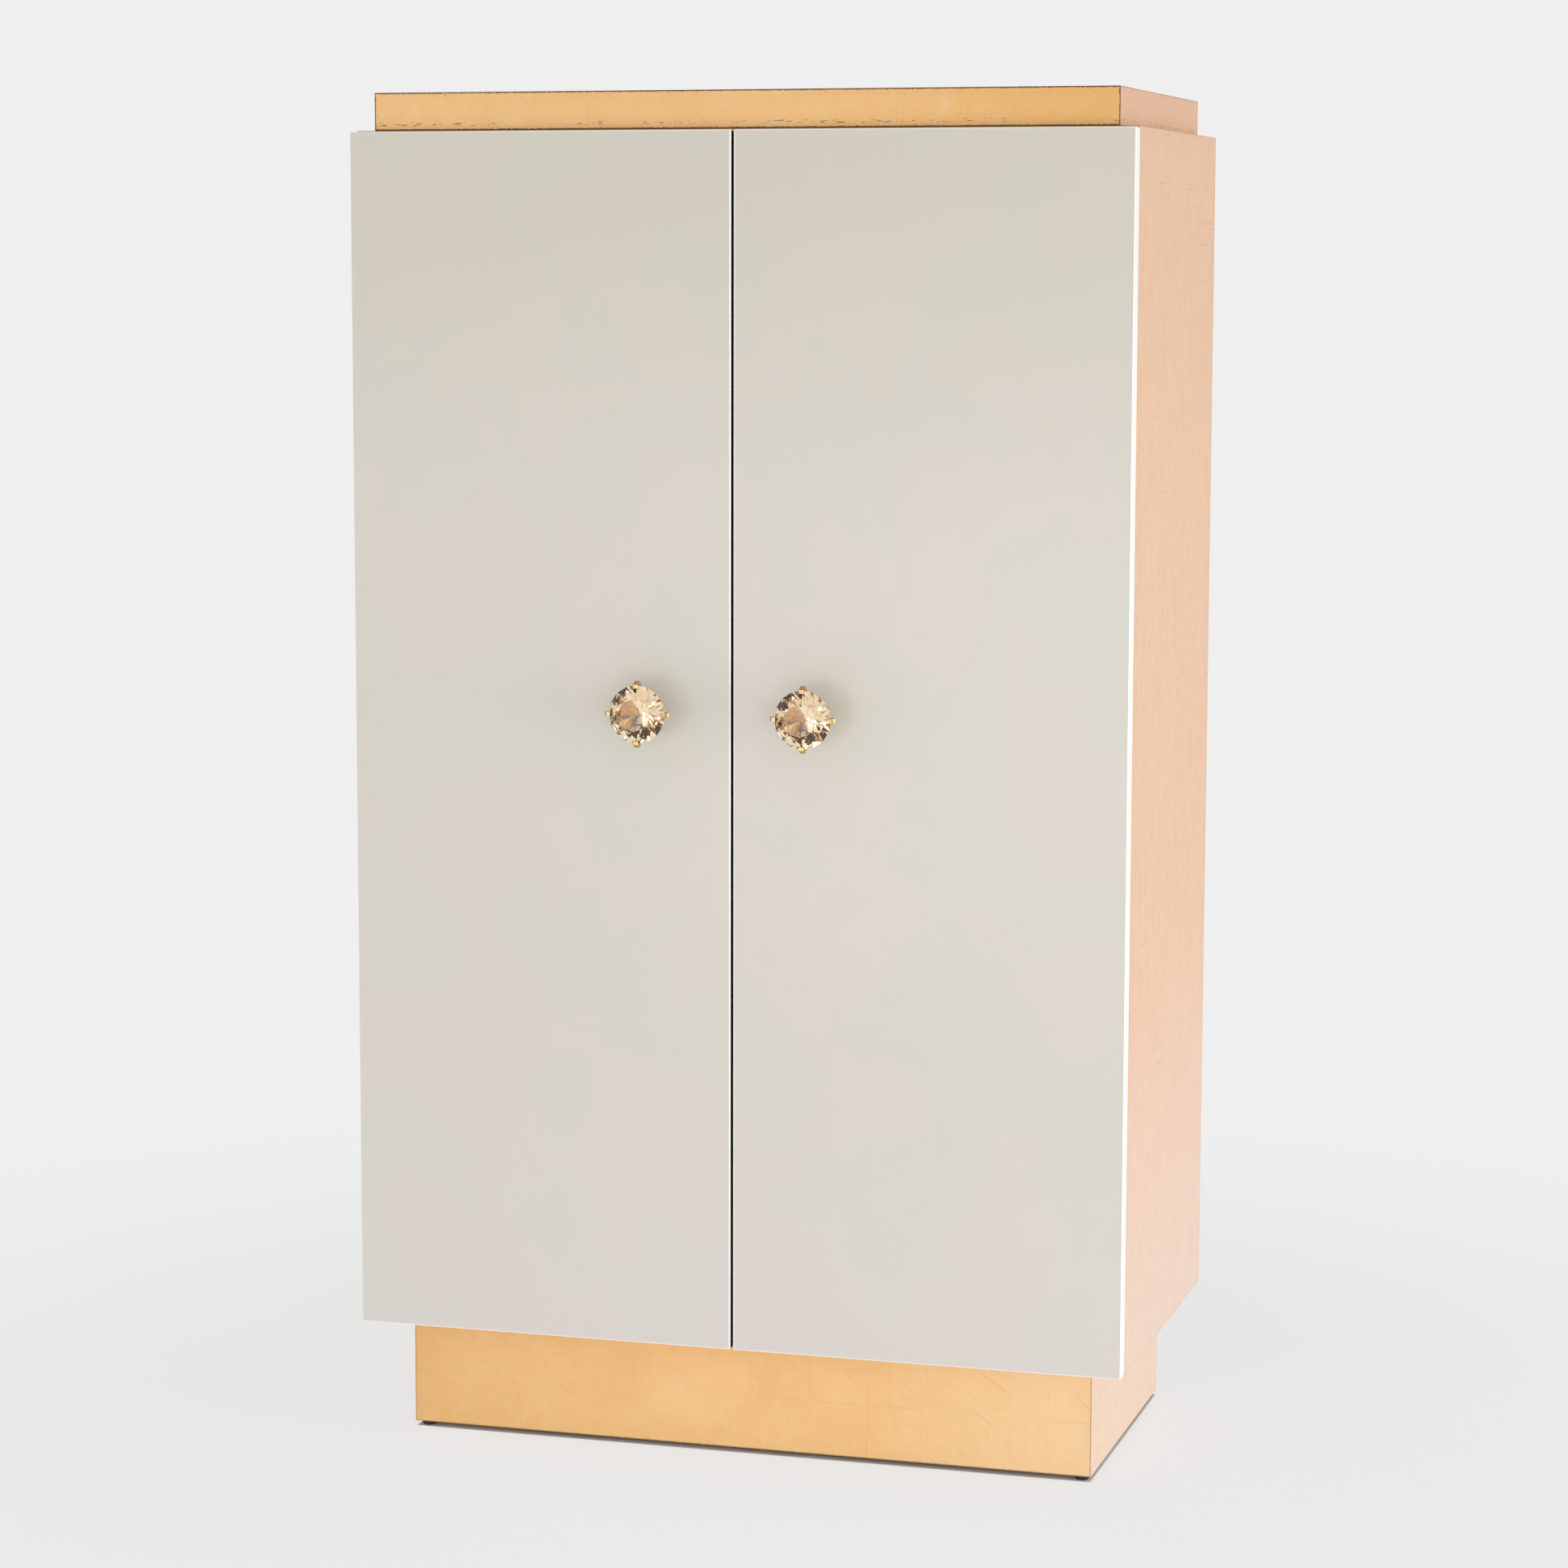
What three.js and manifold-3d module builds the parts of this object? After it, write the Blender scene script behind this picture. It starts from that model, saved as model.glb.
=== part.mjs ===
// Two-door armoire on a recessed plinth, with a set-back cap and crystal knobs.
// Millimetres. X to the right, the doors face -Y, Z up. The origin is under the middle of the whole piece.
import * as THREE from "three";
import { ConvexGeometry } from "three/addons/geometries/ConvexGeometry.js";
import { mergeVertices } from "three/addons/utils/BufferGeometryUtils.js";
import Module from "manifold-3d";

const wasm = await Module();
wasm.setup();

// ---------------------------------------------------------------- driving dimensions
// Case
const CASE_W = 1062;
const CASE_D = 532;
const CASE_Z0 = 160;
const CASE_Z1 = 1780;
const PANEL_T = 20;
const BACK_T = 8;
// Doors
const DOOR_T = 24;
const DOOR_GAP_BACK = 1.5;
const DOOR_GAP_MIDDLE = 3.5;
const DOOR_Z0 = 161;
const DOOR_Z1 = 1778;
const DOOR_EASE = 1.5;
// Cap, which is flush with the case at front and back and narrower than it
const CAP_W = 1010;
const CAP_Z1 = 1830;
const CAP_RAIL_T = 22;
const CAP_BOARD_T = 18;
// Plinth
const PLINTH_W = 958;
const PLINTH_INSET_Y = 40;
const PLINTH_Z0 = 7;
const PLINTH_T = 22;
const PLINTH_BLOCK = 36;
// Glides
const GLIDE_R = 9;
const GLIDE_INSET = 5.5;
// Inside
const HAT_SHELF_Z = 1480;
const LOWER_SHELF_Z = 470;
const SHELF_T = 20;
const SHELF_SETBACK = 12;
const ROD_R = 14;
const ROD_Z = 1405;
const ROD_SOCKET_R = 24;
const ROD_SOCKET_L = 14;
const ROD_SEAT = 4;
// Knobs
const KNOB_X = 112.75;
const KNOB_Z = 1020;
const KNOB_PROJECTION = 70;
const CRYSTAL_R = 38.5;
const GIRDLE_T = 1.6;
const CROWN_H = 12.5;
const TABLE_R = 22;
const PAVILION_H = 29;
const SEAT_GAP = 0.8;
const CLAW_W = 6.4;
const CLAW_OUT = 5.6;
const CUP_LIP_R = 23;
const CUP_FOOT_R = 9;
const CUP_SHELL = 2.6;
const ROSETTE_R = 17;
const SCREW_R = 2.5;
const SCREW_HOLE_R = 2.8;
const SCREW_L = 39;
// Concealed hinges. Their plan is drawn in [u, v]: u runs inwards from the case's outer face,
// and v forwards from the case's front edge.
const HINGE_Z = [290, 970, 1650];
const CUP_U = 20;
const CUP_BORE_R = 17.5;
const CUP_BORE_DEPTH = 14.5;
const CUP_R = 17.2;
const CUP_WALL = 0.8;
const CUP_DEPTH = 14.2;
const CUP_RIM = 0.9;
const OUTER_ARM_PIVOT = [30.62, -2.26];
const OUTER_CUP_PIVOT = [10.86, 8.06];
const INNER_ARM_PIVOT = [48, -33.43];
const INNER_CUP_PIVOT = [9.29, 3.1];
const OUTER_LINK_BENDS = [[20.1, 13.15], [24.07, 13.15]];
const INNER_LINK_BENDS = [[11, 6.6], [20.5, 4.6]];
const LINK_HALF_T = 1.5;
const LINK_Z = [0.4, 6];
const ARM_WALL_Z = [6.4, 8.4];
const PIN_R = 1.2;
const ARM_PIN_R = 1.5;
const PIN_PLAY = 0.06;
const OPEN_PIVOT_PLAY = 0.8;

// ---------------------------------------------------------------- derived positions
const DEPTH = KNOB_PROJECTION + DOOR_T + DOOR_GAP_BACK + CASE_D;
const BACK_Y = DEPTH / 2;
const CASE_Y0 = BACK_Y - CASE_D;
const DOOR_BACK_Y = CASE_Y0 - DOOR_GAP_BACK;
const DOOR_FRONT_Y = DOOR_BACK_Y - DOOR_T;
const HALF_W = CASE_W / 2;
const INNER_X = HALF_W - PANEL_T;
const INNER_Z0 = CASE_Z0 + PANEL_T;
const INNER_Z1 = CASE_Z1 - PANEL_T;
const INNER_Y1 = BACK_Y - BACK_T;

const armoire = new THREE.Group();
armoire.name = "armoire";

// ---------------------------------------------------------------- materials
const paint = (color, roughness, metalness) =>
  new THREE.MeshStandardMaterial({ color, roughness, metalness });
const lacquer = () => paint(0xd9d3c6, 0.35, 0);
const gilt = () => paint(0xd9a766, 0.4, 0.8);
const darkWood = () => paint(0x3a2418, 0.55, 0);
const crystal = () => paint(0xf0d9b0, 0.05, 0);
const brass = () => paint(0xc8964a, 0.3, 1);
const steel = () => paint(0xb8bbbd, 0.35, 1);
const blackNylon = () => paint(0x151515, 0.5, 0);

function add(name, geometry, material) {
  const mesh = new THREE.Mesh(geometry, material);
  mesh.name = name;
  armoire.add(mesh);
  return mesh;
}

// ---------------------------------------------------------------- geometry helpers
// A box between exact corner coordinates, so that neighbours share a face without overlapping.
function block(x0, x1, y0, y1, z0, z1) {
  const geometry = new THREE.BoxGeometry(2, 2, 2);
  const p = geometry.getAttribute("position");
  for (let i = 0; i < p.count; i++) {
    p.setXYZ(
      i,
      p.getX(i) > 0 ? x1 : x0,
      p.getY(i) > 0 ? y1 : y0,
      p.getZ(i) > 0 ? z1 : z0,
    );
  }
  return geometry;
}

// The same box with every edge eased off by a small chamfer.
function easedBlock(x0, x1, y0, y1, z0, z1, e) {
  const points = [];
  for (const [x, sx] of [[x0, e], [x1, -e]]) {
    for (const [y, sy] of [[y0, e], [y1, -e]]) {
      for (const [z, sz] of [[z0, e], [z1, -e]]) {
        points.push(new THREE.Vector3(x, y + sy, z + sz));
        points.push(new THREE.Vector3(x + sx, y, z + sz));
        points.push(new THREE.Vector3(x + sx, y + sy, z));
      }
    }
  }
  return new ConvexGeometry(points);
}

function solid(geometry) {
  const bare = geometry.clone();
  bare.deleteAttribute("normal");
  bare.deleteAttribute("uv");
  const merged = mergeVertices(bare, 1e-4);
  const index = merged.index.array;
  return new wasm.Manifold(
    new wasm.Mesh({
      numProp: 3,
      vertProperties: new Float32Array(merged.getAttribute("position").array),
      triVerts: new Uint32Array(index),
    }),
  );
}

function geometryOf(manifold) {
  const mesh = manifold.getMesh();
  const geometry = new THREE.BufferGeometry();
  geometry.setAttribute("position", new THREE.BufferAttribute(mesh.vertProperties, 3));
  geometry.setIndex(new THREE.BufferAttribute(mesh.triVerts, 1));
  return geometry;
}

// A turned piece: profile is [radius, height] pairs; its axis runs from `at` along `direction`.
function turned(profile, segments, at, direction) {
  const points = profile.map(([r, h]) => new THREE.Vector2(r, h));
  const geometry = new THREE.LatheGeometry(points, segments);
  const turn = new THREE.Quaternion().setFromUnitVectors(
    new THREE.Vector3(0, 1, 0),
    direction,
  );
  geometry.applyQuaternion(turn);
  geometry.translate(at.x, at.y, at.z);
  return geometry;
}

function rod(radius, length, segments, at, direction) {
  return turned(
    [[0, 0], [radius, 0], [radius, length], [0, length]],
    segments,
    at,
    direction,
  );
}

const FRONT = new THREE.Vector3(0, -1, 0);
const RIGHT = new THREE.Vector3(1, 0, 0);
const UP = new THREE.Vector3(0, 0, 1);

// ---------------------------------------------------------------- case
function addCase() {
  for (const [side, s] of [["left", -1], ["right", 1]]) {
    const x = [s * HALF_W, s * INNER_X].sort((a, b) => a - b);
    add(
      "case_side_" + side,
      block(x[0], x[1], CASE_Y0, BACK_Y, CASE_Z0, CASE_Z1),
      gilt(),
    );
  }
  add("case_top_panel", block(-INNER_X, INNER_X, CASE_Y0, INNER_Y1, INNER_Z1, CASE_Z1), gilt());
  add("case_bottom_panel", block(-INNER_X, INNER_X, CASE_Y0, INNER_Y1, CASE_Z0, INNER_Z0), gilt());
  add("case_back_panel", block(-INNER_X, INNER_X, INNER_Y1, BACK_Y, CASE_Z0, CASE_Z1), darkWood());
}

// ---------------------------------------------------------------- shelves and hanging rod
function addInterior() {
  const y0 = CASE_Y0 + SHELF_SETBACK;
  for (const [name, z] of [["hat_shelf", HAT_SHELF_Z], ["lower_shelf", LOWER_SHELF_Z]]) {
    add(name, block(-INNER_X, INNER_X, y0, INNER_Y1, z, z + SHELF_T), darkWood());
  }
  const y = (CASE_Y0 + INNER_Y1) / 2;
  for (const [side, s] of [["left", -1], ["right", 1]]) {
    const profile = [
      [0, 0],
      [ROD_SOCKET_R, 0],
      [ROD_SOCKET_R, 3],
      [ROD_R + 4, 4],
      [ROD_R + 4, ROD_SOCKET_L],
      [ROD_R + 0.3, ROD_SOCKET_L],
      [ROD_R + 0.3, ROD_SEAT],
      [0, ROD_SEAT],
    ];
    const at = new THREE.Vector3(s * INNER_X, y, ROD_Z);
    add("rod_socket_" + side, turned(profile, 40, at, new THREE.Vector3(-s, 0, 0)), brass());
  }
  const half = INNER_X - ROD_SEAT;
  add("hanging_rod", rod(ROD_R, 2 * half, 40, new THREE.Vector3(-half, y, ROD_Z), RIGHT), brass());
}

// ---------------------------------------------------------------- cap
function addCap() {
  const hx = CAP_W / 2;
  const z0 = CASE_Z1;
  const zb = CAP_Z1 - CAP_BOARD_T;
  const ix = hx - CAP_RAIL_T;
  const y1 = CASE_Y0 + CAP_RAIL_T;
  const y2 = BACK_Y - CAP_RAIL_T;
  add("cap_front_rail", block(-hx, hx, CASE_Y0, y1, z0, zb), gilt());
  add("cap_back_rail", block(-hx, hx, y2, BACK_Y, z0, zb), gilt());
  add("cap_left_rail", block(-hx, -ix, y1, y2, z0, zb), gilt());
  add("cap_right_rail", block(ix, hx, y1, y2, z0, zb), gilt());
  add("cap_board", block(-hx, hx, CASE_Y0, BACK_Y, zb, CAP_Z1), gilt());
}

// ---------------------------------------------------------------- plinth and glides
function addPlinth() {
  const hx = PLINTH_W / 2;
  const y0 = CASE_Y0 + PLINTH_INSET_Y;
  const y3 = BACK_Y - PLINTH_INSET_Y;
  const y1 = y0 + PLINTH_T;
  const y2 = y3 - PLINTH_T;
  const ix = hx - PLINTH_T;
  add("plinth_front", block(-hx, hx, y0, y1, PLINTH_Z0, CASE_Z0), gilt());
  add("plinth_back", block(-hx, hx, y2, y3, PLINTH_Z0, CASE_Z0), gilt());
  add("plinth_left", block(-hx, -ix, y1, y2, PLINTH_Z0, CASE_Z0), gilt());
  add("plinth_right", block(ix, hx, y1, y2, PLINTH_Z0, CASE_Z0), gilt());
  for (const [side, s] of [["left", -1], ["right", 1]]) {
    for (const [end, front] of [["front", true], ["back", false]]) {
      const x = [s * ix, s * (ix - PLINTH_BLOCK)].sort((a, b) => a - b);
      const y = front ? [y1, y1 + PLINTH_BLOCK] : [y2 - PLINTH_BLOCK, y2];
      const name = "plinth_block_" + end + "_" + side;
      add(name, block(x[0], x[1], y[0], y[1], PLINTH_Z0, CASE_Z0), darkWood());
      addGlide(end + "_" + side, s, front ? y0 + GLIDE_INSET : y3 - GLIDE_INSET, front ? 1 : -1);
    }
  }
}

// A nylon glide: a round pad under the plinth corner.
function addGlide(where, s, edgeY, inward) {
  const at = new THREE.Vector3(
    s * (PLINTH_W / 2 - GLIDE_INSET - GLIDE_R),
    edgeY + inward * GLIDE_R,
    0,
  );
  const profile = [
    [0, 0],
    [GLIDE_R - 1.5, 0],
    [GLIDE_R, 1.5],
    [GLIDE_R, PLINTH_Z0],
    [0, PLINTH_Z0],
  ];
  add("glide_" + where, turned(profile, 32, at, UP), blackNylon());
}

// ---------------------------------------------------------------- doors
function addDoor(side, s) {
  const outer = s * HALF_W;
  const inner = (s * DOOR_GAP_MIDDLE) / 2;
  const x = [outer, inner].sort((a, b) => a - b);
  let door = solid(
    easedBlock(x[0], x[1], DOOR_FRONT_Y, DOOR_BACK_Y, DOOR_Z0, DOOR_Z1, DOOR_EASE),
  );
  for (const z of HINGE_Z) {
    const at = new THREE.Vector3(s * (HALF_W - CUP_U), DOOR_BACK_Y + 1, z);
    door = door.subtract(solid(rod(CUP_BORE_R, CUP_BORE_DEPTH + 1, 48, at, FRONT)));
  }
  const screwAt = new THREE.Vector3(s * KNOB_X, DOOR_BACK_Y + 1, KNOB_Z);
  door = door.subtract(solid(rod(SCREW_HOLE_R, DOOR_T + 2, 24, screwAt, FRONT)));
  add("door_" + side, geometryOf(door), lacquer());
}

// ---------------------------------------------------------------- knobs
const GIRDLE_H1 = KNOB_PROJECTION - CROWN_H;
const GIRDLE_H0 = GIRDLE_H1 - GIRDLE_T;
const CULET_H = GIRDLE_H0 - PAVILION_H;
const CROWN_SLOPE = CROWN_H / (CRYSTAL_R - TABLE_R);
const PAVILION_SLOPE = PAVILION_H / CRYSTAL_R;

// How far from the door the setting stands at a radius, just clear of the crystal's back.
const seatHeight = (r) => CULET_H + PAVILION_SLOPE * r - SEAT_GAP;

// A round brilliant: flat table, kite and star facets, a thin girdle and a pointed back.
function crystalGeometry(x) {
  const points = [];
  const put = (r, h, turn) => {
    const a = (turn * Math.PI) / 8;
    points.push(
      new THREE.Vector3(x + r * Math.cos(a), DOOR_FRONT_Y - h, KNOB_Z + r * Math.sin(a)),
    );
  };
  const starR = TABLE_R + 5;
  const lowerR = CRYSTAL_R / 4;
  for (let i = 0; i < 16; i++) {
    put(CRYSTAL_R, GIRDLE_H1, i);
    put(CRYSTAL_R, GIRDLE_H0, i);
    if (i % 2 === 0) {
      put(TABLE_R, KNOB_PROJECTION, i);
    } else {
      const spread = 1 / Math.cos(Math.PI / 8);
      put(starR * spread, KNOB_PROJECTION - CROWN_SLOPE * (starR - TABLE_R), i);
      put(lowerR * spread, CULET_H + PAVILION_SLOPE * lowerR, i);
    }
  }
  put(0, CULET_H, 0);
  return new ConvexGeometry(points);
}

// One claw, as a side outline of [radius, height] extruded across its width.
function clawGeometry(x, turn) {
  const over = (r) => GIRDLE_H1 + CROWN_SLOPE * (CRYSTAL_R - r) + SEAT_GAP;
  const wall = CRYSTAL_R + 0.4;
  const out = CRYSTAL_R + CLAW_OUT;
  const outline = [
    [8, seatHeight(8)],
    [wall, seatHeight(wall)],
    [wall, over(wall)],
    [CRYSTAL_R - 4.3, over(CRYSTAL_R - 4.3)],
    [CRYSTAL_R - 3.6, over(CRYSTAL_R - 4.3) + 2.6],
    [CRYSTAL_R + 1, over(CRYSTAL_R - 4.3) + 2.8],
    [out - 1.1, over(CRYSTAL_R)],
    [out, GIRDLE_H1 - 0.5],
    [out, GIRDLE_H0 - 1.5],
    [out - 2.6, GIRDLE_H0 - 6],
    [11, seatHeight(8) - 9],
    [8, seatHeight(8) - 9],
  ];
  const shape = new THREE.Shape(outline.map(([r, h]) => new THREE.Vector2(r, h)));
  const edge = 0.5;
  const geometry = new THREE.ExtrudeGeometry(shape, {
    depth: CLAW_W - 2 * edge,
    bevelEnabled: true,
    bevelThickness: edge,
    bevelSize: edge,
    bevelOffset: -edge,
    bevelSegments: 1,
  });
  geometry.translate(0, 0, -CLAW_W / 2 + edge);
  geometry.scale(1, -1, 1);
  flip(geometry);
  geometry.rotateY(turn);
  geometry.translate(x, DOOR_FRONT_Y, KNOB_Z);
  return geometry;
}

// Turns every face round, after a mirroring scale.
function flip(geometry) {
  const p = geometry.getAttribute("position");
  for (let i = 0; i < p.count; i += 3) {
    const a = new THREE.Vector3().fromBufferAttribute(p, i + 1);
    const b = new THREE.Vector3().fromBufferAttribute(p, i + 2);
    p.setXYZ(i + 1, b.x, b.y, b.z);
    p.setXYZ(i + 2, a.x, a.y, a.z);
  }
}

// The setting: a turned stem with a rosette at the door, a conical cup that the crystal's back
// rests over, and four claws round the crystal.
function settingGeometry(x) {
  const profile = [
    [0, 17],
    [SCREW_HOLE_R, 17],
    [SCREW_HOLE_R, 0],
    [ROSETTE_R, 0],
    [ROSETTE_R, 2],
    [ROSETTE_R - 2, 3.5],
    [ROSETTE_R - 3, 3.5],
    [ROSETTE_R - 3, 5],
    [ROSETTE_R - 5, 6.5],
    [8, 7.5],
    [6.5, 10],
    [6.5, 15],
    [8.5, 17],
    [8.5, 18.5],
    [7.5, 20],
    [CUP_FOOT_R, seatHeight(CUP_FOOT_R) - CUP_SHELL - 5],
    [CUP_LIP_R - 1, seatHeight(CUP_LIP_R - 1) - CUP_SHELL],
    [CUP_LIP_R, seatHeight(CUP_LIP_R) - CUP_SHELL + 0.8],
    [CUP_LIP_R, seatHeight(CUP_LIP_R) - 1],
    [CUP_LIP_R - 0.8, seatHeight(CUP_LIP_R - 0.8)],
    [0, seatHeight(0)],
  ];
  const at = new THREE.Vector3(x, DOOR_FRONT_Y, KNOB_Z);
  let setting = solid(turned(profile, 40, at, FRONT));
  for (let i = 0; i < 4; i++) {
    setting = setting.add(solid(clawGeometry(x, (i * Math.PI) / 2)));
  }
  return geometryOf(setting);
}

function addKnob(side, s) {
  const x = s * KNOB_X;
  add("knob_crystal_" + side, crystalGeometry(x), crystal());
  add("knob_setting_" + side, settingGeometry(x), brass());
  const profile = [
    [0, -3],
    [4, -3],
    [5, -2],
    [5, 0],
    [SCREW_R, 0],
    [SCREW_R, SCREW_L],
    [0, SCREW_L],
  ];
  const at = new THREE.Vector3(x, DOOR_BACK_Y, KNOB_Z);
  add("knob_screw_" + side, turned(profile, 24, at, FRONT), steel());
}

// ---------------------------------------------------------------- concealed hinges
// Plan coordinates to world: s is -1 on the left side of the case and 1 on the right.
const planX = (s, u) => s * (HALF_W - u);
const planY = (v) => CASE_Y0 - v;

function post(s, [u, v], radius, z0, z1) {
  return solid(rod(radius, z1 - z0, 24, new THREE.Vector3(planX(s, u), planY(v), z0), UP));
}

function prism(s, outline, z0, z1) {
  const shape = new THREE.Shape(
    outline.map(([u, v]) => new THREE.Vector2(planX(s, u), planY(v))),
  );
  const geometry = new THREE.ExtrudeGeometry(shape, { depth: z1 - z0, bevelEnabled: false });
  geometry.translate(0, 0, z0);
  return solid(geometry);
}

// A flat bar with round ends between two plan points.
function bar(s, [u0, v0], [u1, v1], r, z0, z1) {
  const points = [];
  for (const [u, v] of [[u0, v0], [u1, v1]]) {
    for (let i = 0; i < 16; i++) {
      const a = (i * Math.PI) / 8;
      const x = planX(s, u) + r * Math.cos(a);
      const y = planY(v) + r * Math.sin(a);
      points.push(new THREE.Vector3(x, y, z0), new THREE.Vector3(x, y, z1));
    }
  }
  return solid(new ConvexGeometry(points));
}

// A link: bars along its bends, an eye at each end, and the two pin holes.
function linkGeometry(s, ends, bends, eyes, holes, z0, z1) {
  const path = [ends[0], ...bends, ends[1]];
  let link = post(s, ends[0], eyes[0], z0, z1).add(post(s, ends[1], eyes[1], z0, z1));
  for (let i = 0; i + 1 < path.length; i++) {
    link = link.add(bar(s, path[i], path[i + 1], LINK_HALF_T, z0, z1));
  }
  link = link.subtract(post(s, ends[0], holes[0], z0 - 1, z1 + 1));
  link = link.subtract(post(s, ends[1], holes[1], z0 - 1, z1 + 1));
  return geometryOf(link);
}

// The cup in the door, with its screw flange, a cut-out for the links and two stub pins.
function cupGeometry(s, z) {
  const at = new THREE.Vector3(planX(s, CUP_U), DOOR_BACK_Y + CUP_RIM, z);
  const mouth = new THREE.Vector3(planX(s, CUP_U), DOOR_BACK_Y + CUP_RIM + 1, z);
  const depth = CUP_DEPTH + CUP_RIM;
  const v0 = DOOR_GAP_BACK - CUP_RIM;
  let cup = solid(rod(CUP_R, depth, 48, at, FRONT));
  const flange = [[9, v0], [31, v0], [31, DOOR_GAP_BACK], [9, DOOR_GAP_BACK]];
  cup = cup.add(prism(s, flange, z - 31, z + 31));
  cup = cup.subtract(solid(rod(CUP_R - CUP_WALL, depth + 1 - CUP_WALL, 48, mouth, FRONT)));
  const window = [[-5, v0 - 1], [8, v0 - 1], [8, 12], [-5, 12]];
  cup = cup.subtract(prism(s, window, z - 7, z + 7));
  cup = cup.add(post(s, OUTER_CUP_PIVOT, PIN_R, z + 0.2, z + 14));
  cup = cup.add(post(s, INNER_CUP_PIVOT, PIN_R, z - 12.9, z - 0.2));
  return geometryOf(cup);
}

// The arm on the case side: a mounting plate, two side walls, a web and the two pins.
function armGeometry(s, z) {
  const plate = [[PANEL_T, -72], [PANEL_T + 3, -72], [PANEL_T + 3, -40], [PANEL_T, -40]];
  const wall = [
    [22, -70],
    [29, -70],
    [36, -44],
    [50, -38],
    [52, -31],
    [46, -28],
    [34, -3],
    [32.4, -0.4],
    [29, -0.4],
    [27.6, -3],
    [26, -28],
    [22, -42],
  ];
  const web = [[27, -70], [29, -70], [35, -47], [33, -47]];
  let arm = prism(s, plate, z - 24, z + 24);
  arm = arm.add(prism(s, wall, z + ARM_WALL_Z[0], z + ARM_WALL_Z[1]));
  arm = arm.add(prism(s, wall, z - ARM_WALL_Z[1], z - ARM_WALL_Z[0]));
  arm = arm.add(prism(s, web, z - ARM_WALL_Z[1] + 0.2, z + ARM_WALL_Z[1] - 0.2));
  arm = arm.add(post(s, OUTER_ARM_PIVOT, ARM_PIN_R, z + 0.2, z + ARM_WALL_Z[1] - 0.2));
  arm = arm.add(
    post(s, INNER_ARM_PIVOT, ARM_PIN_R, z - ARM_WALL_Z[1] + 0.2, z + ARM_WALL_Z[1] - 0.2),
  );
  return geometryOf(arm);
}

function addHinges(side, s) {
  HINGE_Z.forEach((z, i) => {
    const tag = side + "_" + (i + 1);
    add("hinge_arm_" + tag, armGeometry(s, z), steel());
    add("hinge_cup_" + tag, cupGeometry(s, z), steel());
    const outer = linkGeometry(
      s,
      [OUTER_CUP_PIVOT, OUTER_ARM_PIVOT],
      OUTER_LINK_BENDS,
      [2.2, 2.6],
      [PIN_R + PIN_PLAY, ARM_PIN_R + PIN_PLAY],
      z + LINK_Z[0],
      z + LINK_Z[1],
    );
    add("hinge_outer_link_" + tag, outer, steel());
    const inner = linkGeometry(
      s,
      [INNER_CUP_PIVOT, INNER_ARM_PIVOT],
      INNER_LINK_BENDS,
      [2.1, ARM_PIN_R + OPEN_PIVOT_PLAY + 1.5],
      [PIN_R + PIN_PLAY, ARM_PIN_R + OPEN_PIVOT_PLAY],
      z - LINK_Z[1],
      z - LINK_Z[0],
    );
    add("hinge_inner_link_" + tag, inner, steel());
  });
}

addCase();
addInterior();
addCap();
addPlinth();
for (const [side, s] of [["left", -1], ["right", 1]]) {
  addDoor(side, s);
  addKnob(side, s);
  addHinges(side, s);
}

export default armoire;
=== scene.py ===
import math

import bmesh
import bpy
from mathutils import Matrix, Vector


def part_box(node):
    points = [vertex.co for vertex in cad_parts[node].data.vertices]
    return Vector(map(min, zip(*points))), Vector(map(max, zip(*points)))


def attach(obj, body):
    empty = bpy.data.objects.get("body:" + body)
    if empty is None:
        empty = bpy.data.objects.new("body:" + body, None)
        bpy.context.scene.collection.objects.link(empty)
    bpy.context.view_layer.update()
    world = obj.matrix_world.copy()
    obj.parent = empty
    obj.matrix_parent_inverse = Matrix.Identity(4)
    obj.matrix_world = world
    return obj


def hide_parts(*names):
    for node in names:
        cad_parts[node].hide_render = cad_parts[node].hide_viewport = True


# A two-door armoire in pale satin lacquer and gold leaf. Metres, Z up, the doors face -Y.
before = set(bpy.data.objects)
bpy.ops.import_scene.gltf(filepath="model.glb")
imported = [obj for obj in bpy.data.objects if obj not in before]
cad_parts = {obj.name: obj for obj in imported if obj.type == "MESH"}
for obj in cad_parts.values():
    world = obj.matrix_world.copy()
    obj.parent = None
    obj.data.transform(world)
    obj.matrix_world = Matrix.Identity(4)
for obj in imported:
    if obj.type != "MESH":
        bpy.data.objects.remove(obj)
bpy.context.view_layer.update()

SIDES = (("left", -1), ("right", 1))
HINGES = (1, 2, 3)


# ------------------------------------------------------------------ camera
CAMERA_AT = Vector((1.5661, -5.4036, 1.6030))
CAMERA_YAW = math.radians(16.153)     # turned to the left of +Y
CAMERA_PITCH = math.radians(7.160)    # looking down
CAMERA_ROLL = math.radians(0.128)
CAMERA_LENS = 94.7


def make_camera():
    cy, sy = math.cos(CAMERA_YAW), math.sin(CAMERA_YAW)
    cp, sp = math.cos(CAMERA_PITCH), math.sin(CAMERA_PITCH)
    ahead = Vector((-sy * cp, cy * cp, -sp))
    right = Vector((cy, sy, 0))
    up = right.cross(ahead)
    right_rolled = right * math.cos(CAMERA_ROLL) + up * math.sin(CAMERA_ROLL)
    up_rolled = right_rolled.cross(ahead)
    data = bpy.data.cameras.new("camera")
    data.sensor_width = 36
    data.lens = CAMERA_LENS
    data.clip_end = 200
    camera = bpy.data.objects.new("camera", data)
    bpy.context.scene.collection.objects.link(camera)
    turn = Matrix((right_rolled, up_rolled, -ahead)).transposed()
    camera.matrix_world = Matrix.Translation(CAMERA_AT) @ turn.to_4x4()
    bpy.context.scene.camera = camera


make_camera()


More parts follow.
